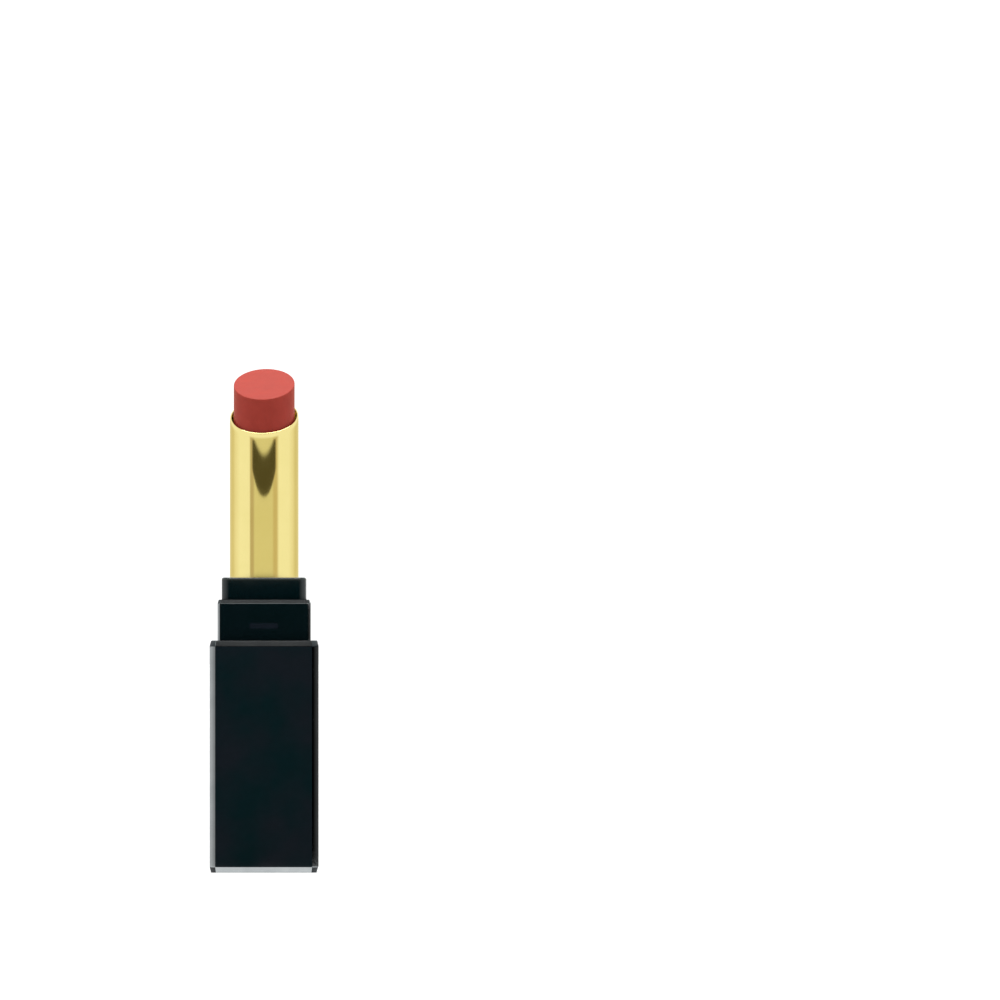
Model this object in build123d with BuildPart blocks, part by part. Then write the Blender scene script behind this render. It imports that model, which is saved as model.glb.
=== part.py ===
from build123d import *

import os
from math import cos, radians, sin, tan

# A twist-up lipstick: a square base, a slant-cut metal sleeve and a slant-cut bullet.
# Millimetres, +Z up. The origin is the centre of the base's underside, and the low
# side of the slanted rim faces -Y, turned a few degrees towards -X, because the sleeve
# stops wherever it is twisted to. The bullet stands part-way up, as in use.
#
# The base carries a tube with two left-handed spiral grooves. The sleeve turns in the
# base and carries a forked guide tube. The lifting stem's two lugs pass through the
# fork into the grooves, so turning the sleeve raises the bullet without turning it in
# the sleeve, and its slanted face stays parallel to the slanted rim.

# ---------------------------------------------------------------- driving dimensions
base_width = 18.5
base_height = 39.5
base_edge_bevel = 1.0  # the upright edges are bevelled flat
shell_wall = 1.5

seat_width = 15.8  # the square collar that the cap slides over
seat_height = 7.0
neck_width = 14.4  # the rounded square ring above it
neck_height = 3.8

sleeve_diameter = 11.8
sleeve_wall = 0.35
rim_centre_height = 77.9  # where the slanted rim plane crosses the axis
slant_angle = 27.0
slant_turn = 4.0  # how far the low side stands from -Y towards -X

bullet_diameter = 10.4
bullet_raise = 5.4  # the bullet's face above the rim plane as modelled
bullet_sunk = 1.1  # the same face below the rim plane when fully wound down

spiral_lead = 13.0  # rise for one turn
spiral_turns = 2.0
lug_diameter = 2.0

# ------------------------------------------------------------------------ clearances
slip = 0.05  # per side, between parts pushed together
running = 0.1  # radial, between parts that turn or slide on each other
lug_play = 0.15  # per side, lug in its groove
stack_gap = 0.2  # between parts stacked along the axis

# ------------------------------------------------------------- levels, bottom to top
plate_thickness = 1.2
label_recess = 0.15
label_thickness = 0.1
pad_thickness = 0.3
weight_height = 4.0
plug_flange = 0.8
plug_boss = 0.6
groove_end_wall = 0.85
washer_thickness = 0.4
flange_thickness = 1.0
hub_height = 1.4

weight_bottom = plate_thickness + pad_thickness
plug_bottom = weight_bottom + weight_height + stack_gap
spiral_bottom = plug_bottom + plug_flange
lug_travel = spiral_lead * spiral_turns
lug_lowest = spiral_bottom + groove_end_wall + lug_diameter / 2 + lug_play
spiral_top = lug_lowest + lug_travel + lug_diameter / 2 + lug_play + groove_end_wall
flange_bottom = spiral_top + washer_thickness + running
flange_top = flange_bottom + flange_thickness
shoulder = flange_top + stack_gap
hub_top = flange_top + hub_height
seat_top = base_height + seat_height
neck_top = seat_top + neck_height

bullet_lift = bullet_raise + bullet_sunk  # how far the carrier stands up as modelled
lug_height = lug_lowest + bullet_lift
cup_height = 7.0
cup_bottom = hub_top + stack_gap + bullet_lift
cup_top = cup_bottom + cup_height

# ------------------------------------------------------------------- radii and widths
cavity_width = base_width - 2 * shell_wall
insert_width = cavity_width - 2 * slip
corner_radius = 0.8
sleeve_bore = sleeve_diameter / 2 - sleeve_wall
spiral_outer = 6.3
spiral_inner = 4.75
groove_floor = 5.85
guide_outer = spiral_inner - running
guide_inner = 3.75
flange_radius = 6.55
collar_bore = sleeve_diameter / 2 + running
flange_pocket = flange_radius + stack_gap
brake_pocket = 6.8
brake_section = 0.42  # radius of the brake ring's round section

upright = (Align.CENTER, Align.CENTER, Align.MIN)
slope = tan(radians(slant_angle))


def slant_plane(height):
    """The slanted cutting plane that crosses the axis at this height."""
    angle = radians(slant_angle)
    turn = radians(slant_turn)
    tilt = (-sin(angle) * sin(turn), -sin(angle) * cos(turn), cos(angle))
    return Plane(origin=(0, 0, height), x_dir=(cos(turn), -sin(turn), 0), z_dir=tilt)


def rod(radius, low, high, mode=Mode.ADD):
    """An upright cylinder between two levels."""
    with Locations((0, 0, low)):
        return Cylinder(radius, high - low, align=upright, mode=mode)


def square_bar(width, low, high, radius, mode=Mode.ADD):
    """An upright bar of rounded square section between two levels."""
    with BuildSketch(Plane.XY.offset(low)) as outline:
        RectangleRounded(width, width, radius)
    return extrude(outline.sketch, amount=high - low, mode=mode)


def bevelled_bar(width, low, high, bevel):
    """An upright square bar whose upright edges are bevelled flat."""
    with BuildSketch(Plane.XY.offset(low)) as outline:
        Rectangle(width, width)
        chamfer(outline.vertices(), bevel)
    return extrude(outline.sketch, amount=high - low)


# ------------------------------------------------------------ base shell, open below
base_bevel_in = 0.25  # the bevels at the top and the bottom are taller than they are deep
base_bevel_height = 0.95
with BuildPart() as base_shell:
    bevelled_bar(base_width, 0, base_height, base_edge_bevel)
    for end in base_shell.faces().filter_by(Axis.Z):
        chamfer(end.edges(), base_bevel_in, base_bevel_height, reference=end)
    square_bar(cavity_width, 0, base_height, corner_radius, mode=Mode.SUBTRACT)
base_shell.part.label = "base_shell"

# ------------------------------------- bottom plate, pushed into the shell from below
plate_wall = 1.0
plate_skirt_top = 4.8
small_corner = 0.4
label_width = 12.0
with BuildPart() as bottom_plate:
    square_bar(insert_width, 0, plate_skirt_top, corner_radius - slip)
    square_bar(insert_width - 2 * plate_wall, plate_thickness, plate_skirt_top, small_corner, mode=Mode.SUBTRACT)
    square_bar(label_width + 2 * running, 0, label_recess, small_corner + running, mode=Mode.SUBTRACT)
bottom_plate.part.label = "bottom_plate"

# ---------------------------------------------------- blank shade label in its recess
with BuildPart() as shade_label:
    square_bar(label_width, label_recess - label_thickness, label_recess, small_corner)
shade_label.part.label = "shade_label"

# ------------------------------------------------- steel weight and its adhesive pad
weight_width = 13.2
weight_bevel = 0.3
pad_inset = 0.3
with BuildPart() as weight_pad:
    square_bar(weight_width - 2 * pad_inset, plate_thickness, weight_bottom, small_corner)
weight_pad.part.label = "weight_pad"

with BuildPart() as base_weight:
    square_bar(weight_width, weight_bottom, weight_bottom + weight_height, small_corner)
    chamfer(base_weight.faces().sort_by(Axis.Z)[-1].edges(), weight_bevel)
base_weight.part.label = "base_weight"

# --------------------------- core holder: a ribbed insert that centres the spiral tube
holder_bottom = plug_bottom + 0.3
holder_top = spiral_top - 1.0
holder_height = holder_top - holder_bottom
holder_plate = 1.0
holder_bore = spiral_outer + slip
holder_wall = 0.6
key_width = 1.2
key_height = 0.45  # how far the key stands out of the spiral tube
keyway_depth = 0.6
fin_reach = 10.3  # from the axis into the shell's corners
fin_thickness = 1.0
with BuildPart() as core_holder:
    rod(holder_bore + holder_wall, holder_bottom, holder_top)
    for level in (holder_bottom, holder_top - holder_plate):
        square_bar(insert_width, level, level + holder_plate, corner_radius - slip)
    with Locations((0, 0, holder_bottom)):
        with PolarLocations(0, 2, start_angle=45):
            Box(2 * fin_reach, fin_thickness, holder_height, align=upright)
    rod(holder_bore, holder_bottom, holder_top, mode=Mode.SUBTRACT)
    with Locations((holder_bore, 0, holder_bottom)):
        Box(2 * keyway_depth, key_width + 2 * slip, holder_height, align=upright, mode=Mode.SUBTRACT)
core_holder.part.label = "core_holder"

# --------------------------------------------- plug that closes the spiral tube below
with BuildPart() as spiral_end_plug:
    rod(spiral_outer, plug_bottom, spiral_bottom)
    rod(spiral_inner - slip, spiral_bottom, spiral_bottom + plug_boss)
spiral_end_plug.part.label = "spiral_end_plug"

# ------------------------------------------- spiral tube: two left-handed grooves inside
groove_width = lug_diameter + 2 * lug_play
groove_open = spiral_inner - 0.4  # the cutter starts inside the bore
groove_depth = groove_floor - groove_open
key_length = 20.0
with BuildPart() as spiral_tube:
    rod(spiral_outer, spiral_bottom, spiral_top)
    with Locations((spiral_outer, 0, (holder_bottom + holder_top - key_length) / 2)):
        Box(2 * key_height, key_width, key_length, align=upright)
    rod(spiral_inner, spiral_bottom, spiral_top, mode=Mode.SUBTRACT)
    with BuildPart(mode=Mode.PRIVATE) as groove_cutter:
        with BuildLine() as groove_path:
            Helix(spiral_lead, lug_travel, groove_open, center=(0, 0, lug_lowest), lefthand=True)
        start = groove_path.line % 0
        with BuildSketch(Plane(origin=groove_path.line @ 0, x_dir=(1, 0, 0), z_dir=start)):
            with Locations((groove_depth / 2, 0)):
                Rectangle(groove_depth, groove_width)
        sweep(path=groove_path.line, is_frenet=True)
        for angle, level in ((0, lug_lowest), (-360 * spiral_turns, lug_lowest + lug_travel)):
            with Locations(Location((0, 0, level), (0, 90, angle))):
                Cylinder(groove_width / 2, groove_floor, align=upright)
        rod(groove_open, spiral_bottom, spiral_top, mode=Mode.SUBTRACT)
    with PolarLocations(0, 2):
        add(groove_cutter.part, mode=Mode.SUBTRACT)
spiral_tube.part.label = "spiral_tube"

# ------------------------------------------- low-friction washer under the guide flange
with BuildPart() as thrust_washer:
    rod(spiral_outer, spiral_top, spiral_top + washer_thickness)
    rod(spiral_inner + running, spiral_top, spiral_top + washer_thickness, mode=Mode.SUBTRACT)
thrust_washer.part.label = "thrust_washer"

# ------------------------------------------------ seat collar: the cap slides over this
skirt_bottom = holder_top + stack_gap
brake_shelf = 41.4
seat_edge_bevel = 0.4
seat_bevel_in = 0.2
seat_bevel_height = 0.65
with BuildPart() as seat_collar:
    bevelled_bar(seat_width, base_height, seat_top, seat_edge_bevel)
    seat_face = seat_collar.faces().sort_by(Axis.Z)[-1]
    chamfer(seat_face.edges(), seat_bevel_in, seat_bevel_height, reference=seat_face)
    square_bar(insert_width, skirt_bottom, base_height, corner_radius - slip)
    rod(flange_pocket, skirt_bottom, shoulder, mode=Mode.SUBTRACT)
    rod(collar_bore, shoulder, seat_top, mode=Mode.SUBTRACT)
    rod(brake_pocket, brake_shelf, seat_top, mode=Mode.SUBTRACT)
seat_collar.part.label = "seat_collar"

# --------------------------------------- silicone ring that gives the twist its drag
brake_gap = 0.02  # the ring is drawn just clear of what it squeezes
brake_radius = sleeve_diameter / 2 + brake_gap + brake_section
with BuildPart() as brake_ring:
    with Locations((0, 0, brake_shelf + brake_section + brake_gap)):
        Torus(brake_radius, brake_section)
brake_ring.part.label = "brake_ring"

# -------------------------------------- neck collar, plugged into the seat collar
neck_corner = 1.4
neck_round = 0.35
neck_plug_bottom = brake_shelf + 2 * brake_section + stack_gap
with BuildPart() as neck_collar:
    square_bar(neck_width, seat_top, neck_top, neck_corner)
    fillet(neck_collar.faces().sort_by(Axis.Z)[-1].edges(), neck_round)
    rod(brake_pocket - slip, neck_plug_bottom, seat_top)
    rod(collar_bore, neck_plug_bottom, neck_top, mode=Mode.SUBTRACT)
neck_collar.part.label = "neck_collar"

# ---------------------------- guide tube: two slots open below, a flange and a hub above
guide_bottom = spiral_bottom + plug_boss + stack_gap
slot_top = spiral_top - 0.6
slot_width = lug_diameter + 2 * running
hub_slip = 0.01  # the sleeve is glued round the hub
with BuildPart() as guide_tube:
    rod(guide_outer, guide_bottom, flange_bottom)
    rod(flange_radius, flange_bottom, flange_top)
    rod(sleeve_bore - hub_slip, flange_top, hub_top)
    rod(guide_inner, guide_bottom, hub_top, mode=Mode.SUBTRACT)
    with Locations((0, 0, guide_bottom)):
        Box(2 * flange_radius, slot_width, slot_top - guide_bottom, align=upright, mode=Mode.SUBTRACT)
guide_tube.part.label = "guide_tube"

# ---------------------------------------------------- metal sleeve with a slanted rim
rim_height = rim_centre_height + slope * sleeve_diameter
rim_round = 0.12
with BuildPart() as gold_sleeve:
    rod(sleeve_diameter / 2, flange_top, rim_height)
    rod(sleeve_bore, flange_top, rim_height, mode=Mode.SUBTRACT)
    split(bisect_by=slant_plane(rim_centre_height), keep=Keep.BOTTOM)
    fillet(gold_sleeve.faces().sort_by(Axis.Z)[-1].edges(), rim_round)
gold_sleeve.part.label = "gold_sleeve"

# ------------------------------- lifting stem with its two lugs, put in from below
stem_radius = 3.1
stem_bore = 2.0
block_radius = guide_inner - running
block_below = 1.2
block_above = 3.0
shoulder_height = 1.0
lug_reach = groove_floor - lug_play
spigot_height = 2.2
spigot_slip = 0.02
stem_base = lug_height - block_below
with BuildPart() as lift_stem:
    rod(block_radius, stem_base, lug_height + block_above)
    rod(stem_radius, lug_height, cup_bottom)
    rod(block_radius, cup_bottom - shoulder_height, cup_bottom)
    rod(stem_bore - spigot_slip, cup_bottom, cup_bottom + spigot_height)
    with Locations(Location((-lug_reach, 0, lug_height), (0, 90, 0))):
        Cylinder(lug_diameter / 2, 2 * lug_reach, align=upright)
    rod(stem_bore, stem_base, cup_bottom - 2 * shoulder_height, mode=Mode.SUBTRACT)
lift_stem.part.label = "lift_stem"

# ---------------------------------------------- bullet cup, snapped on from above
cup_radius = sleeve_bore - running
cup_inner = 4.8
cup_floor = 0.8
post_radius = 2.9
post_top = cup_bottom + spigot_height + cup_floor
rib_count = 6
rib_depth = 0.35
rib_width = 0.5
rib_height = cup_height - 1.0
with BuildPart() as bullet_cup:
    rod(cup_radius, cup_bottom, cup_top)
    rod(cup_inner, cup_bottom + cup_floor, cup_top, mode=Mode.SUBTRACT)
    rod(post_radius, cup_bottom, post_top)
    with Locations((0, 0, cup_bottom)):
        with PolarLocations(cup_inner, rib_count):
            Box(2 * rib_depth, rib_width, rib_height, align=upright)
    rod(stem_bore, cup_bottom, cup_bottom + spigot_height, mode=Mode.SUBTRACT)
bullet_cup.part.label = "bullet_cup"

# ------------------------------------ bullet, cast into the cup, with a slanted face
face_centre_height = rim_centre_height + bullet_raise
bullet_round = 0.08
with BuildPart() as bullet:
    rod(cup_inner, cup_bottom + cup_floor, cup_top)
    rod(bullet_diameter / 2, cup_top, face_centre_height + slope * bullet_diameter)
    split(bisect_by=slant_plane(face_centre_height), keep=Keep.BOTTOM)
    fillet(bullet.faces().sort_by(Axis.Z)[-1].edges(), bullet_round)
    rod(post_radius, cup_bottom, post_top, mode=Mode.SUBTRACT)
    add(bullet_cup.part, mode=Mode.SUBTRACT)
bullet.part.label = "bullet"

# -------------------------------------------------------------------------- export
pieces = (
    base_shell, bottom_plate, shade_label, weight_pad, base_weight, core_holder,
    spiral_end_plug, spiral_tube, thrust_washer, seat_collar, brake_ring, neck_collar,
    guide_tube, gold_sleeve, lift_stem, bullet_cup, bullet,
)
os.makedirs("parts", exist_ok=True)
for piece in pieces:
    export_step(piece.part, f"parts/{piece.part.label}.step")
    print(piece.part.label, round(piece.part.volume, 2))
print("the bullet moves from", -bullet_lift, "to", lug_travel - bullet_lift)
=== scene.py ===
import math

import bmesh
import bpy
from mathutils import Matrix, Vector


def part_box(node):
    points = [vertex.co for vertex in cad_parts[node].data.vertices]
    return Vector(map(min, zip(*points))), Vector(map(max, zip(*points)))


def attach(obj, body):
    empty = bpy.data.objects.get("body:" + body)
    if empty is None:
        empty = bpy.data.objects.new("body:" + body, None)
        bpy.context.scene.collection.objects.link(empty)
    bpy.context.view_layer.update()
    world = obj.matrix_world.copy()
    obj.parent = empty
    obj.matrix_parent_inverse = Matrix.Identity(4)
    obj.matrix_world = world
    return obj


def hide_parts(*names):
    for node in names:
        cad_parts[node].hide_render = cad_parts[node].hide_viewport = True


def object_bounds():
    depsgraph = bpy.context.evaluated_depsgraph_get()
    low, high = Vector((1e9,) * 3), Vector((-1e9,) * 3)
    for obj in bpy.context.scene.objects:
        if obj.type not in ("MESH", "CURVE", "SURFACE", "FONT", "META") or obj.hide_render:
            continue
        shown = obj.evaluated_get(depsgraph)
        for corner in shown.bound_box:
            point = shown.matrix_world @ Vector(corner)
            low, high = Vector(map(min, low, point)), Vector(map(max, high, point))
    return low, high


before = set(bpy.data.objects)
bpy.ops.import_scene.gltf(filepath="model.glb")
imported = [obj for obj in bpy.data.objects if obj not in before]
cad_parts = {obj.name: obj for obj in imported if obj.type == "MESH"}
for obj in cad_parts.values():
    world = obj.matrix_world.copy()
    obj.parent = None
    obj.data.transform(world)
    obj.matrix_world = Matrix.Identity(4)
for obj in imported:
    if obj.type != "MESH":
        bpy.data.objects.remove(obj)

cad_low, cad_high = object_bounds()

# ------------------------------------------------------------------ sizes, in metres
MM = 0.001
SLANT = math.tan(math.radians(27))  # rise of the slanted cuts
SLANT_TURN = math.radians(4)  # how far their low side stands from -Y towards -X
EDGE_SOFTNESS = 0.05 * MM  # what is taken off every crisp moulded edge
CORNER_LOSS = 2 - math.sqrt(2)  # how much shorter a corner bevel gets where the outline steps in
ARC_STEPS = 16  # facets in a quarter turn of a rounded corner
ROUND_STEPS = 192  # facets round the sleeve and the bullet
SUPPORT = 0.12 * MM  # an extra ring this far from an edge keeps tall faces evenly shaded
WELD = 0.0005 * MM  # points closer than this are one
SHALLOW, STEEP, SHARP = 12, 30, 60  # in degrees, how far an edge bends before it counts


# ---------------------------------------------------------------------- mesh helpers
def rounded_square(half, radius, z):
    """One level of a rounded square outline. A radius as large as half gives a circle."""
    points = []
    inset = half - radius
    for quarter, (sx, sy) in enumerate(((1, 1), (-1, 1), (-1, -1), (1, -1))):
        for step in range(ARC_STEPS + 1):
            turn = math.radians(90 * (quarter + step / ARC_STEPS))
            x = sx * inset + radius * math.cos(turn)
            y = sy * inset + radius * math.sin(turn)
            points.append((x, y, z))
    return points


def bevelled_square(half, bevel, z):
    """One level of a square outline whose corners are bevelled, each bevel a little crowned."""
    crown = math.radians(15)
    radius = bevel / math.sqrt(2) / math.sin(crown)
    centre = half - bevel / 2 - radius * math.cos(crown) / math.sqrt(2)
    points = []
    for quarter, (sx, sy) in enumerate(((1, 1), (-1, 1), (-1, -1), (1, -1))):
        for step in range(ARC_STEPS + 1):
            turn = math.radians(90 * quarter + 45) + crown * (2 * step / ARC_STEPS - 1)
            x = sx * centre + radius * math.cos(turn)
            y = sy * centre + radius * math.sin(turn)
            points.append((x, y, z))
    return points


def piece_from_rings(name, rings, closed=True, bevelled=(), cornered=()):
    """A mesh through a stack of point rings. A closed stack joins its last ring to its first.

    The flat faces of the bands named in bevelled take the piece's second material, and so
    do the corner faces of the bands named in cornered.
    """
    build = bmesh.new()
    rows = [[build.verts.new(point) for point in ring] for ring in rings]
    pairs = list(zip(rows, rows[1:]))
    if closed:
        pairs.append((rows[-1], rows[0]))
    for band, (lower, upper) in enumerate(pairs):
        count = len(lower)
        for i in range(count):
            j = (i + 1) % count
            face = build.faces.new((lower[i], lower[j], upper[j], upper[i]))
            at_corner = (i + 1) % (ARC_STEPS + 1) != 0
            face.material_index = int(band in (cornered if at_corner else bevelled))
    if not closed:
        build.faces.new(list(reversed(rows[0])))
        build.faces.new(rows[-1])
    bmesh.ops.remove_doubles(build, verts=build.verts, dist=WELD)
    bmesh.ops.recalc_face_normals(build, faces=build.faces)
    mesh = bpy.data.meshes.new(name)
    build.to_mesh(mesh)
    build.free()
    piece = bpy.data.objects.new(name, mesh)
    bpy.context.scene.collection.objects.link(piece)
    return piece


def smooth(piece):
    for face in piece.data.polygons:
        face.use_smooth = True


def soften(piece, sharp_above):
    """Rounds the crisp edges a little and gives clean shading to flat and rounded faces."""
    smooth(piece)
    bevel = piece.modifiers.new("edge", "BEVEL")
    bevel.width = EDGE_SOFTNESS
    bevel.segments = 3
    bevel.limit_method = "ANGLE"
    bevel.angle_limit = math.radians(sharp_above)
    weighted = piece.modifiers.new("normals", "WEIGHTED_NORMAL")
    weighted.keep_sharp = False
    return piece


def dress(piece, looks, body, slot, *replaced):
    """Gives a new piece its materials, ties it to its CAD body and hides the CAD nodes that it
    replaces. The slot argument is not used.
    """
    for look in looks:
        piece.data.materials.append(look.material)
    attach(piece, body)
    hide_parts(*replaced)
    return piece


# ---------------------------------------------------------------------- node helpers
def map_range(tree, value, start, end, low=0.0, high=1.0):
    """Takes start to end on to low to high, and holds the value at both ends."""
    made = tree.nodes.new("ShaderNodeMapRange")
    made.inputs["From Min"].default_value = start
    made.inputs["From Max"].default_value = end
    made.inputs["To Min"].default_value = low
    made.inputs["To Max"].default_value = high
    tree.links.new(value, made.inputs["Value"])
    return made.outputs["Result"]


def choose(tree, factor, first, second):
    """First where factor is 0, second where it is 1. Either is a colour or a socket."""
    mix = tree.nodes.new("ShaderNodeMix")
    mix.data_type = "RGBA"
    factor_input, first_input, second_input = mix.inputs[0], mix.inputs[6], mix.inputs[7]
    tree.links.new(factor, factor_input)
    for socket, value in ((first_input, first), (second_input, second)):
        if isinstance(value, tuple):
            socket.default_value = (*value, 1)
        else:
            tree.links.new(value, socket)
    return mix.outputs[2]


def grey(level):
    return (level, level, level)


class Look:
    """A Principled material with short calls for the nodes that it needs."""

    def __init__(self, name, **sockets):
        self.material = bpy.data.materials.new(name)
        self.material.use_nodes = True
        self.tree = self.material.node_tree
        self.shader = self.tree.nodes["Principled BSDF"]
        for socket, value in sockets.items():
            self.shader.inputs[socket.replace("_", " ")].default_value = value
        self.place = self.node("ShaderNodeTexCoord").outputs["Object"]

    def node(self, kind, **settings):
        made = self.tree.nodes.new(kind)
        for key, value in settings.items():
            setattr(made, key, value)
        return made

    def link(self, source, target):
        self.tree.links.new(source, target)

    def stretched(self, x, y, z):
        """Object coordinates scaled along each axis, for grain that runs one way."""
        mapping = self.node("ShaderNodeMapping")
        mapping.inputs["Scale"].default_value = (x, y, z)
        self.link(self.place, mapping.inputs["Vector"])
        return mapping.outputs["Vector"]

    def noise(self, scale, detail=3.0, roughness=0.5, vector=None):
        made = self.node("ShaderNodeTexNoise")
        made.inputs["Scale"].default_value = scale
        made.inputs["Detail"].default_value = detail
        made.inputs["Roughness"].default_value = roughness
        self.link(vector or self.place, made.inputs["Vector"])
        return made.outputs["Fac"]

    def spread(self, value, low, high, start=0.3, end=0.7):
        """Maps a pattern, which mostly runs from start to end, on to a useful range."""
        return map_range(self.tree, value, start, end, low, high)

    def math(self, operation, first, second=0.0):
        made = self.node("ShaderNodeMath", operation=operation)
        for socket, value in zip(made.inputs, (first, second)):
            if isinstance(value, (int, float)):
                socket.default_value = value
            else:
                self.link(value, socket)
        return made.outputs["Value"]

    def blend(self, factor, first, second):
        return choose(self.tree, factor, first, second)

    def axes(self):
        made = self.node("ShaderNodeSeparateXYZ")
        self.link(self.place, made.inputs["Vector"])
        return made.outputs["X"], made.outputs["Y"], made.outputs["Z"]

    def feed(self, socket, source):
        self.link(source, self.shader.inputs[socket])

    def bump(self, height, depth):
        made = self.node("ShaderNodeBump")
        made.inputs["Distance"].default_value = depth
        made.inputs["Strength"].default_value = 1.0
        self.link(height, made.inputs["Height"])
        self.link(made.outputs["Normal"], self.shader.inputs["Normal"])


# ------------------------------------------------------------------------- materials
def lacquer(name, deep, lifted):
    """Deep blue-black gloss lacquer: faint flake, smears in the gloss, slight orange peel."""
    look = Look(name, IOR=1.5)
    flake = look.spread(look.noise(95, 3), 0, 1, 0.38, 0.62)
    look.feed("Base Color", look.blend(flake, deep, lifted))
    look.feed("Roughness", look.spread(look.noise(90, 5, 0.6), 0.07, 0.16))
    look.bump(look.noise(1400, 2), 0.0006 * MM)
    return look


def add_front_bar(look, height):
    """A faint plain bar on the front of a lacquered piece, in place of any lettering."""
    half_width, half_height, blur = 2.4 * MM, 0.45 * MM, 0.2 * MM
    across, depth, up = look.axes()
    bar = look.math("LESS_THAN", depth, 0.0)
    for distance, reach in ((across, half_width), (look.math("SUBTRACT", up, height), half_height)):
        edge = look.spread(look.math("ABSOLUTE", distance), 1, 0, reach - blur, reach + blur)
        bar = look.math("MULTIPLY", bar, edge)
    lacquered = look.shader.inputs["Base Color"].links[0].from_socket
    look.feed("Base Color", look.blend(bar, lacquered, (0.0125, 0.0185, 0.0270)))


def polished_edge():
    """Diamond-cut bevels: the lacquer is cut through to bright grey metal, with fine cut lines."""
    look = Look("polished_edge", Metallic=1.0)
    cuts = look.noise(1, 2, 0.5, look.stretched(4000, 4000, 4000))
    cloud = look.spread(look.noise(300, 3), 0, 1)
    look.feed("Base Color", look.blend(cloud, (0.44, 0.47, 0.48), (0.52, 0.55, 0.56)))
    look.feed("Roughness", look.spread(cuts, 0.10, 0.18))
    look.bump(cuts, 0.0003 * MM)
    return look


def gold():
    """Polished pale gold: drawn lines along the tube, fine hazing and a few smears."""
    look = Look("gold_metal", Metallic=1.0)
    drawn = look.noise(1, 3, 0.6, look.stretched(9000, 9000, 60))
    haze = look.noise(140, 4, 0.6)
    tone = look.spread(haze, 0, 1)
    look.feed("Base Color", look.blend(tone, (0.765, 0.645, 0.262), (0.80, 0.675, 0.288)))
    hazed, lined = look.spread(haze, 0.06, 0.1), look.spread(drawn, 0, 0.03)
    look.feed("Roughness", look.math("ADD", hazed, lined))
    look.bump(drawn, 0.0004 * MM)
    return look


def wax():
    """Coral-red lipstick wax: satin, with pigment clouds, pinhead pits and mould streaks."""
    look = Look("bullet_wax", IOR=1.45, Specular_IOR_Level=0.10)
    look.shader.inputs["Subsurface Weight"].default_value = 0.08
    look.shader.inputs["Subsurface Radius"].default_value = (1.2 * MM, 0.4 * MM, 0.3 * MM)
    look.shader.inputs["Subsurface Scale"].default_value = 1.0
    clouds = look.noise(420, 5, 0.6)
    streaks = look.noise(1, 3, 0.5, look.stretched(2200, 2200, 120))
    tone = look.spread(clouds, 0, 1)
    look.feed("Base Color", look.blend(tone, (0.445, 0.058, 0.041), (0.495, 0.066, 0.047)))
    clouded, streaked = look.spread(clouds, 0.36, 0.46), look.spread(streaks, 0, 0.06)
    look.feed("Roughness", look.math("ADD", clouded, streaked))
    pits = look.noise(3200, 3)
    look.bump(look.math("ADD", look.math("MULTIPLY", streaks, 0.5), pits), 0.0025 * MM)
    return look


def moulded(name, colour, roughness=0.45, grain=1800.0, depth=0.003):
    """Plain moulded plastic, rubber or foam: fine grain and a little unevenness of tone."""
    look = Look(name)
    darker = tuple(channel * 0.86 for channel in colour)
    look.feed("Base Color", look.blend(look.spread(look.noise(260, 4), 0, 1), darker, colour))
    look.feed("Roughness", look.spread(look.noise(500, 3), roughness - 0.06, roughness + 0.06))
    look.bump(look.noise(grain, 2), depth * MM)
    return look


def steel():
    """Tumbled zinc-plated steel."""
    look = Look("weight_steel", Metallic=1.0)
    spangle = look.noise(700, 4, 0.7)
    tone = look.spread(spangle, 0, 1)
    look.feed("Base Color", look.blend(tone, (0.42, 0.43, 0.44), (0.60, 0.60, 0.59)))
    look.feed("Roughness", look.spread(spangle, 0.28, 0.5))
    look.bump(look.noise(2600, 3), 0.004 * MM)
    return look


base_look = lacquer("base_lacquer", (0.0045, 0.0185, 0.0220), (0.0125, 0.0180, 0.0245))
seat_look = lacquer("seat_gloss", (0.0022, 0.0100, 0.0115), (0.0040, 0.0115, 0.0145))
add_front_bar(seat_look, height=42.05 * MM)
neck_look = lacquer("neck_gloss", (0.0008, 0.0095, 0.0115), (0.0022, 0.0105, 0.0130))
edge_look = polished_edge()
gold_look = gold()
wax_look = wax()

cad_looks = {
    "bottom_plate": moulded("bottom_plastic", (0.010, 0.014, 0.018), 0.3),
    "shade_label": moulded("label_film", (0.60, 0.12, 0.09), 0.4, 3000, 0.001),
    "weight_pad": moulded("pad_foam", (0.55, 0.54, 0.50), 0.85, 2500, 0.03),
    "base_weight": steel(),
    "core_holder": moulded("holder_plastic", (0.035, 0.035, 0.04), 0.5),
    "spiral_end_plug": moulded("spiral_plug_plastic", (0.72, 0.71, 0.68), 0.4),
    "spiral_tube": moulded("spiral_plastic", (0.74, 0.73, 0.70), 0.38),
    "thrust_washer": moulded("washer_plastic", (0.82, 0.82, 0.80), 0.3, 3000, 0.001),
    "brake_ring": moulded("brake_silicone", (0.35, 0.36, 0.37), 0.6),
    "guide_tube": moulded("guide_plastic", (0.62, 0.61, 0.58), 0.4),
    "lift_stem": moulded("stem_plastic", (0.68, 0.67, 0.64), 0.4),
    "bullet_cup": moulded("cup_plastic", (0.72, 0.56, 0.24), 0.3),
}
for node, look in cad_looks.items():
    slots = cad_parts[node].data.materials
    slots.clear()
    slots.append(look.material)

# ------------------------------------------------------------------ levels and radii
base_low, base_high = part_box("base_shell")
seat_low, seat_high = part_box("seat_collar")
neck_low, neck_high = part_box("neck_collar")
sleeve_low, sleeve_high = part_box("gold_sleeve")
_, bullet_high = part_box("bullet")
cup_low, cup_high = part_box("bullet_cup")

sleeve_radius = sleeve_high.x
bullet_radius = bullet_high.x
collar_bore = sleeve_radius + 0.1 * MM


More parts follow.
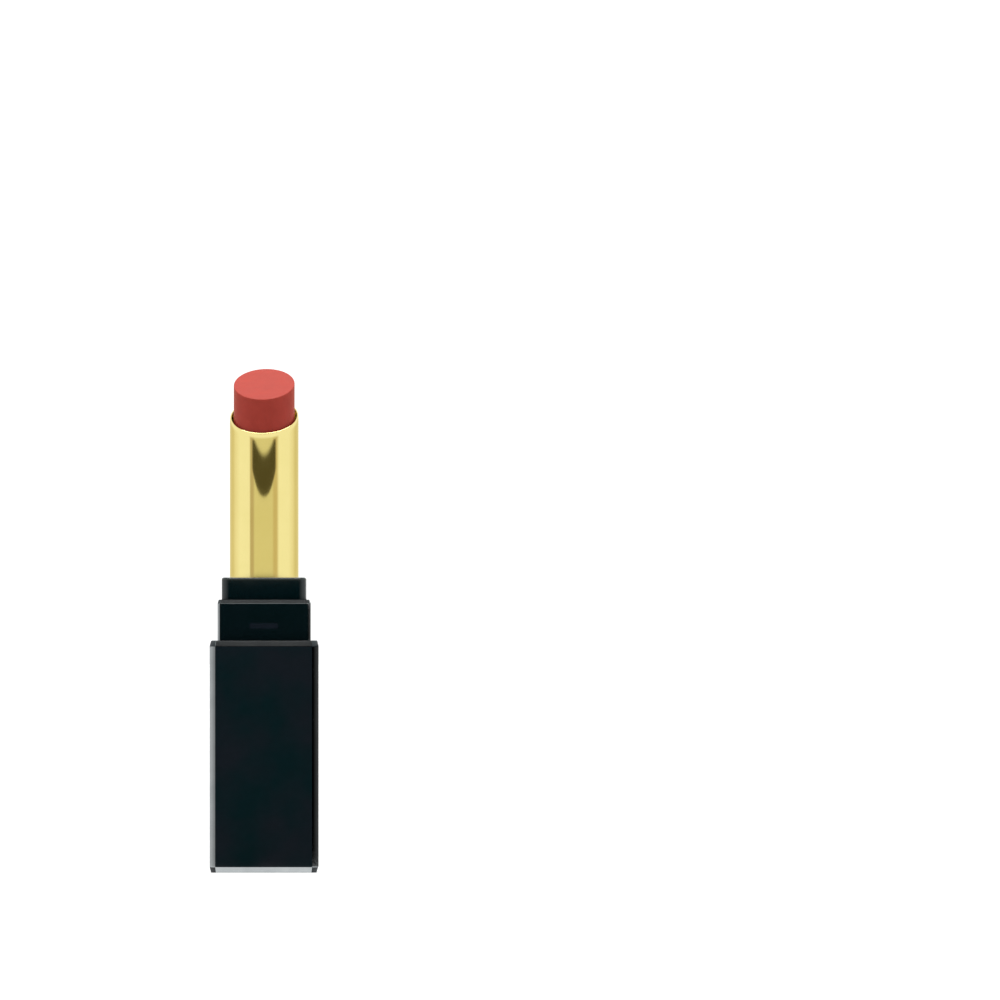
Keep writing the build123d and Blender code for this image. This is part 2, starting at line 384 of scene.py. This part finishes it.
# -------------------------------------------------------------- base, collars, sleeve
def make_base():
    half = base_high.x
    bevel_in, bevel_height, corner = 0.25 * MM, 0.95 * MM, 1.0 * MM
    inner, inner_corner = half - 1.5 * MM, 0.8 * MM
    end_corner = corner - bevel_in * CORNER_LOSS
    rings = [
        rounded_square(inner, inner_corner, base_low.z),
        bevelled_square(half - bevel_in, end_corner, base_low.z),
        bevelled_square(half, corner, base_low.z + bevel_height),
        bevelled_square(half, corner, base_low.z + bevel_height + SUPPORT),
        bevelled_square(half, corner, base_high.z - bevel_height - SUPPORT),
        bevelled_square(half, corner, base_high.z - bevel_height),
        bevelled_square(half - bevel_in, end_corner, base_high.z),
        rounded_square(inner, inner_corner, base_high.z),
    ]
    piece = piece_from_rings("base_body", rings, bevelled=(1, 5), cornered=(2, 3, 4))
    return soften(piece, sharp_above=SHALLOW)


def make_seat():
    half = seat_high.x
    bevel_in, bevel_height, corner = 0.2 * MM, 0.65 * MM, 0.4 * MM
    skirt, skirt_corner = base_high.x - 1.55 * MM, 0.75 * MM
    bore = 6.8 * MM
    rings = [
        rounded_square(bore, bore, seat_low.z),
        rounded_square(skirt, skirt_corner, seat_low.z),
        rounded_square(skirt, skirt_corner, base_high.z),
        bevelled_square(half, corner, base_high.z),
        bevelled_square(half, corner, base_high.z + SUPPORT),
        bevelled_square(half, corner, seat_high.z - bevel_height - SUPPORT),
        bevelled_square(half, corner, seat_high.z - bevel_height),
        bevelled_square(half - bevel_in, corner - bevel_in * CORNER_LOSS, seat_high.z),
        rounded_square(bore, bore, seat_high.z),
    ]
    piece = piece_from_rings("seat_body", rings, bevelled=(6,), cornered=(3, 4, 5))
    return soften(piece, sharp_above=SHALLOW)


def make_neck():
    half, corner = neck_high.x, 1.4 * MM
    plug = 6.75 * MM
    round_over, round_steps = 0.35 * MM, 6
    rings = [
        rounded_square(collar_bore, collar_bore, neck_low.z),
        rounded_square(plug, plug, neck_low.z),
        rounded_square(plug, plug, seat_high.z),
        rounded_square(half, corner, seat_high.z),
        rounded_square(half, corner, seat_high.z + SUPPORT),
        rounded_square(half, corner, neck_high.z - round_over - SUPPORT),
    ]
    for step in range(round_steps + 1):
        turn = math.radians(90 * step / round_steps)
        inset = round_over * (1 - math.cos(turn))
        z = neck_high.z - round_over * (1 - math.sin(turn))
        rings.append(rounded_square(half - inset, corner - inset, z))
    rings.append(rounded_square(collar_bore, collar_bore, neck_high.z))
    return soften(piece_from_rings("neck_body", rings), sharp_above=STEEP)


def slanted_ring(radius, centre, drop=0.0):
    """A ring that lies in the slanted plane through centre, set down by drop."""
    ring = []
    for step in range(ROUND_STEPS):
        turn = math.tau * step / ROUND_STEPS
        x, y = radius * math.cos(turn), radius * math.sin(turn)
        rise = SLANT * (y * math.cos(SLANT_TURN) + x * math.sin(SLANT_TURN))
        ring.append((x, y, centre + rise - drop))
    return ring


def level_ring(radius, z):
    return [(x, y, z) for x, y, _ in slanted_ring(radius, z)]


def make_sleeve():
    wall, lip, lip_steps = 0.35 * MM, 0.10 * MM, 5
    mouth_in, mouth_height, mouth_steps = 0.08 * MM, 1.2 * MM, 8  # drawn in very slightly
    inside_depth = 6 * lip  # of the slanted band inside the rim
    inner = sleeve_radius - wall
    outer = sleeve_radius - mouth_in
    rim_centre = sleeve_high.z - SLANT * sleeve_radius
    rings = [level_ring(inner, sleeve_low.z), level_ring(sleeve_radius, sleeve_low.z)]
    for step in range(mouth_steps + 1):
        share = step / mouth_steps
        radius = sleeve_radius - mouth_in * share**2.5
        rings.append(slanted_ring(radius, rim_centre, lip + mouth_height * (1 - share)))
    for step in range(1, lip_steps + 1):
        turn = math.radians(90 * step / lip_steps)
        radius = outer - lip * (1 - math.cos(turn))
        rings.append(slanted_ring(radius, rim_centre, lip * (1 - math.sin(turn))))
    for step in range(lip_steps + 1):
        turn = math.radians(90 * step / lip_steps)
        radius = inner + lip * (1 - math.sin(turn))
        rings.append(slanted_ring(radius, rim_centre, lip * (1 - math.cos(turn))))
    rings.append(slanted_ring(inner, rim_centre, inside_depth))
    piece = piece_from_rings("sleeve_tube", rings)
    smooth(piece)
    piece.data.set_sharp_from_angle(angle=math.radians(SHARP))
    return piece


def make_bullet():
    edge, edge_steps = 0.13 * MM, 6
    edge_loss = 0.05 * MM  # how far the rounded back edge stands below a sharp one
    dish = 0.02 * MM  # how far the face sinks towards its middle
    foot, foot_middle = 4.75 * MM, 0.5 * MM  # radii of the part that stands in the cup
    foot_z = cup_low.z + 3.3 * MM
    centre = bullet_high.z + edge_loss - SLANT * bullet_radius
    rings = [
        level_ring(foot_middle, foot_z),
        level_ring(foot, foot_z),
        level_ring(foot, cup_high.z),
        level_ring(bullet_radius, cup_high.z),
        slanted_ring(bullet_radius, centre, 5 * edge),
    ]
    for step in range(edge_steps + 1):
        turn = math.radians(90 * step / edge_steps)
        radius = bullet_radius - edge * (1 - math.cos(turn))
        rings.append(slanted_ring(radius, centre, edge * (1 - math.sin(turn))))
    for share in (0.8, 0.5, 0.2):
        rings.append(slanted_ring((bullet_radius - edge) * share, centre, dish * (1 - share)))
    piece = piece_from_rings("bullet_body", rings, closed=False)
    smooth(piece)
    piece.data.set_sharp_from_angle(angle=math.radians(SHARP))
    return piece


dress(make_base(), (base_look, edge_look), "base", "base_lacquer", "base_shell")
dress(make_seat(), (seat_look, edge_look), "base", "seat_gloss", "seat_collar")
dress(make_neck(), (neck_look,), "base", "neck_gloss", "neck_collar")
dress(make_sleeve(), (gold_look,), "sleeve", "gold_metal", "gold_sleeve")
dress(make_bullet(), (wax_look,), "carrier", "bullet_wax", "bullet")

# ----------------------------------------------------------------------------- stage
scene = bpy.context.scene
scene.view_settings.view_transform = "Standard"

SKY_FRONT = 0.06  # the tent's light from the front and from behind, against 1 for white
SKY_SIDE = 0.83  # and its light from either side
OVERHEAD = 0.97  # the overhead lamp on a level surface, on the same scale
OVERHEAD_SPREAD = 40  # degrees across, which softens its shadows
OVERHEAD_LEAN = -4  # degrees about x
FLOOR_BOUNCE = 0.5  # how much of its light the floor sends back to the case
FLOOR_GLOW = 0.6  # lifts the floor to paper white for the eye
FLOOR_NEAR = 0.85  # the floor's tone close to the case, in reflections
NEAR, FAR = 25 * MM, 50 * MM  # from the case, where that tone gives way to the tent's

# Tones of the tent as the gold mirrors it
WHITE = (0.975, 1.0, 0.98)
CREAM = (0.87, 0.85, 0.73)
HONEY = (0.73, 0.71, 0.53)
BRONZE = (0.55, 0.485, 0.36)
TAN = (0.635, 0.555, 0.375)
AMBER = (0.71, 0.66, 0.45)
DUSK = (0.102, 0.091, 0.048)

# The tent round the case: degrees from the front, positive towards +X, and a tone
TENT = (
    (-180, WHITE),
    (-150, AMBER),
    (-128, AMBER),
    (-112, CREAM),
    (-88, WHITE),
    (-50, WHITE),
    (-46, BRONZE),
    (-37, BRONZE),
    (-31, HONEY),
    (27, HONEY),
    (33, TAN),
    (43, TAN),
    (51, WHITE),
    (90, WHITE),
    (112, CREAM),
    (128, AMBER),
    (150, AMBER),
    (180, WHITE),
)
TENT_GLOW = 1.19
ROOF = (3, 8)  # degrees up, over which the tent's tones give way to its white roof
FLAG = grey(0.08)  # a dark round flag in the roof, over the camera
FLAG_LIFT = 50  # how many degrees up its middle stands
FLAG_EDGE = (32, 24)  # degrees from its middle where it starts and where it is full


def compass_ramp(tree, direction, bands):
    """A colour that follows the compass direction. Bands are pairs of degrees, positive
    towards +X from the front, and a colour, from -180 to 180."""
    split = tree.nodes.new("ShaderNodeSeparateXYZ")
    tree.links.new(direction, split.inputs["Vector"])
    towards = tree.nodes.new("ShaderNodeMath")
    towards.operation = "MULTIPLY"
    towards.inputs[1].default_value = -1
    tree.links.new(split.outputs["Y"], towards.inputs[0])
    angle = tree.nodes.new("ShaderNodeMath")
    angle.operation = "ARCTAN2"
    tree.links.new(split.outputs["X"], angle.inputs[0])
    tree.links.new(towards.outputs[0], angle.inputs[1])
    share = map_range(tree, angle.outputs[0], -math.pi, math.pi)
    ramp = tree.nodes.new("ShaderNodeValToRGB")
    stops = ramp.color_ramp.elements
    for degrees, _ in bands[1:-1]:
        stops.new((degrees + 180) / 360)
    for stop, (_, colour) in zip(stops, bands):
        stop.color = (*colour, 1)
    tree.links.new(share, ramp.inputs["Fac"])
    return ramp.outputs["Color"]


def stage_piece(name, points, faces, material):
    mesh = bpy.data.meshes.new(name)
    mesh.from_pydata(points, [], faces)
    mesh.materials.append(material)
    piece = bpy.data.objects.new(name, mesh)
    scene.collection.objects.link(piece)
    return piece


def only_in_reflections(piece):
    piece.visible_camera = False
    piece.visible_diffuse = False
    piece.visible_transmission = False
    piece.visible_shadow = False


def make_floor():
    """Paper that is white to the eye. In reflections it is pale grey close to the case and
    takes the tent's tones further out."""
    reach = 6.0  # metres
    level = cad_low.z - 0.01 * MM
    turns = ((-1, -1), (1, -1), (1, 1), (-1, 1))
    corners = [(reach * x, reach * y, level) for x, y in turns]
    look = Look("floor_paper", Roughness=0.9, Specular_IOR_Level=0.0)
    paper = look.noise(40, 3)
    look.feed("Base Color", look.blend(paper, grey(FLOOR_BOUNCE * 0.98), grey(FLOOR_BOUNCE)))
    look.shader.inputs["Emission Color"].default_value = (1, 1, 1, 1)
    path = look.node("ShaderNodeLightPath")
    look.feed("Emission Strength", look.math("MULTIPLY", path.outputs["Is Camera Ray"], FLOOR_GLOW))
    mirrored = look.node("ShaderNodeEmission")
    mirrored.inputs["Strength"].default_value = TENT_GLOW
    away = look.node("ShaderNodeVectorMath", operation="LENGTH")
    look.link(look.place, away.inputs[0])
    far = look.spread(away.outputs["Value"], 0, 1, NEAR, FAR)
    tones = choose(look.tree, far, grey(FLOOR_NEAR), compass_ramp(look.tree, look.place, TENT))
    look.link(tones, mirrored.inputs["Color"])
    mix = look.node("ShaderNodeMixShader")
    output = look.tree.nodes["Material Output"]
    look.link(path.outputs["Is Glossy Ray"], mix.inputs["Fac"])
    look.link(look.shader.outputs["BSDF"], mix.inputs[1])
    look.link(mirrored.outputs["Emission"], mix.inputs[2])
    look.link(mix.outputs["Shader"], output.inputs["Surface"])
    stage_piece("floor", corners, [(0, 1, 2, 3)], look.material)


def make_world():
    """A white tent with darker, warmer gaps. It looks white wherever the camera sees it."""
    world = bpy.data.worlds.new("tent")
    scene.world = world
    world.use_nodes = True
    world.cycles.sampling_method = "NONE"
    tree = world.node_tree
    background = tree.nodes["Background"]
    direction = tree.nodes.new("ShaderNodeTexCoord").outputs["Generated"]
    mirrored = compass_ramp(tree, direction, TENT)
    height = tree.nodes.new("ShaderNodeSeparateXYZ")
    tree.links.new(direction, height.inputs["Vector"])
    roof = map_range(tree, height.outputs["Z"], *(math.sin(math.radians(d)) for d in ROOF))
    mirrored = choose(tree, roof, mirrored, WHITE)
    facing = tree.nodes.new("ShaderNodeVectorMath")
    facing.operation = "DOT_PRODUCT"
    lift = math.radians(FLAG_LIFT)
    facing.inputs[1].default_value = (0, -math.cos(lift), math.sin(lift))
    tree.links.new(direction, facing.inputs[0])
    flag = map_range(tree, facing.outputs["Value"], *(math.cos(math.radians(d)) for d in FLAG_EDGE))
    mirrored = choose(tree, flag, mirrored, FLAG)
    path = tree.nodes.new("ShaderNodeLightPath")
    front, side = grey(SKY_FRONT), grey(SKY_SIDE)
    lamp_bands = ((-180, front), (-90, side), (0, front), (90, side), (180, front))
    lamp = compass_ramp(tree, direction, lamp_bands)
    lit = choose(tree, path.outputs["Is Diffuse Ray"], mirrored, lamp)
    seen = choose(tree, path.outputs["Is Camera Ray"], lit, grey(1.0))
    tree.links.new(seen, background.inputs["Color"])
    background.inputs["Strength"].default_value = TENT_GLOW


def make_lights():
    data = bpy.data.lights.new("overhead", "SUN")
    data.energy = OVERHEAD * math.pi
    data.angle = math.radians(OVERHEAD_SPREAD)
    lamp = bpy.data.objects.new("overhead", data)
    scene.collection.objects.link(lamp)
    lamp.rotation_euler = (math.radians(OVERHEAD_LEAN), 0, 0)


def glowing(name, bands):
    """A material that gives off the bands' colours round the compass. Its output comes too."""
    material = bpy.data.materials.new(name)
    material.use_nodes = True
    tree = material.node_tree
    tree.nodes.clear()
    place = tree.nodes.new("ShaderNodeTexCoord").outputs["Object"]
    emission = tree.nodes.new("ShaderNodeEmission")
    tree.links.new(compass_ramp(tree, place, bands), emission.inputs["Color"])
    output = tree.nodes.new("ShaderNodeOutputMaterial")
    tree.links.new(emission.outputs["Emission"], output.inputs["Surface"])
    return material, output.inputs["Surface"]


def make_flags():
    """Two stacked rings of flags round the base and collars, which keep the lacquer black.

    The lower ring lets light in from the left and behind, and the upper one from both sides.
    """
    radius = 32 * MM
    lower = (
        (-180, grey(0.25)),
        (-140, grey(0.5)),
        (-110, grey(0.9)),
        (-75, grey(0.62)),
        (-52, grey(0.28)),
        (-35, grey(0.10)),
        (-26, grey(0.0)),
        (60, grey(0.0)),
        (80, grey(0.06)),
        (120, grey(0.08)),
        (180, grey(0.25)),
    )
    upper = (
        (-180, grey(0.8)),
        (-90, grey(1.0)),
        (-60, grey(0.9)),
        (-22, grey(0.0)),
        (22, grey(0.0)),
        (60, grey(0.9)),
        (90, grey(1.0)),
        (180, grey(0.8)),
    )
    steps = 96
    for name, low, high, bands in (
        ("lower_flags", cad_low.z, seat_high.z, lower),
        ("upper_flags", seat_high.z, neck_high.z, upper),
    ):
        points = []
        for z in (low, high):
            for step in range(steps):
                turn = math.tau * step / steps
                points.append((radius * math.cos(turn), radius * math.sin(turn), z))
        faces = [(i, (i + 1) % steps, (i + 1) % steps + steps, i + steps) for i in range(steps)]
        material, _ = glowing(name, bands)
        only_in_reflections(stage_piece(name, points, faces, material))


def make_shield():
    """A dark curved card in front of the tube. The gold mirrors it as a notched shield.

    Its edges fade out through the cover attribute: 0 is clear and 1 is dark.
    """
    radius, half_angle = 25 * MM, math.radians(35)
    top = sleeve_high.z - 2 * SLANT * sleeve_radius - 0.7 * MM
    notch, notch_reach = 2.8 * MM, 0.87  # its depth, and the share of the width it spans
    side_drop, tip_drop = 5.4 * MM, 9.95 * MM
    fade_above, fade_below, fade_side = 1.2 * MM, 0.35 * MM, 0.07
    columns, rows = 64, 4
    points, cover = [], []
    for column in range(columns + 1):
        across = (1 + fade_side) * abs(2 * column / columns - 1)
        inside = min(1, across)
        upper = top - notch * math.cos(math.radians(90) * min(1, inside / notch_reach))
        lower = top - side_drop - (tip_drop - side_drop) * (1 - inside**2.3) ** 1.08
        turn = math.copysign(across, 2 * column - columns) * half_angle
        side = min(1, (1 + fade_side - across) / (2 * fade_side))
        for z, amount in (
            (lower - fade_below / 2, 0),
            (lower + fade_below / 2, 1),
            (upper - fade_above / 2, 1),
            (upper + fade_above / 2, 0),
        ):
            points.append((radius * math.sin(turn), -radius * math.cos(turn), z))
            cover.append(side * amount)
    faces = []
    for column in range(columns):
        for row in range(rows - 1):
            corner = column * rows + row
            faces.append((corner, corner + rows, corner + rows + 1, corner + 1))
    material, surface = glowing("dusk_card", ((-180, DUSK), (180, DUSK)))
    tree = material.node_tree
    dark = surface.links[0].from_socket
    fade = tree.nodes.new("ShaderNodeAttribute")
    fade.attribute_name = "cover"
    clear = tree.nodes.new("ShaderNodeBsdfTransparent")
    mix = tree.nodes.new("ShaderNodeMixShader")
    tree.links.new(fade.outputs["Fac"], mix.inputs["Fac"])
    tree.links.new(clear.outputs["BSDF"], mix.inputs[1])
    tree.links.new(dark, mix.inputs[2])
    tree.links.new(mix.outputs["Shader"], surface)
    card = stage_piece("shield", points, faces, material)
    card.data.attributes.new("cover", "FLOAT", "POINT").data.foreach_set("value", cover)
    only_in_reflections(card)


def make_camera():
    """A long lens, level and square to the case, which stands left of the middle."""
    frame_width = 170.7 * MM  # what the picture spans at the case
    across, height = 40.25 * MM, 63.5 * MM
    lens, sensor = 1000.0, 36.0
    data = bpy.data.cameras.new("camera")
    data.lens, data.sensor_width = lens, sensor
    camera = bpy.data.objects.new("camera", data)
    scene.collection.objects.link(camera)
    distance = frame_width * lens / sensor
    camera.location = (across, -distance, height)
    camera.rotation_euler = (math.radians(90), 0, 0)
    data.clip_start, data.clip_end = 0.1, 40
    scene.camera = camera


make_floor()
make_world()
make_lights()
make_flags()
make_shield()
make_camera()
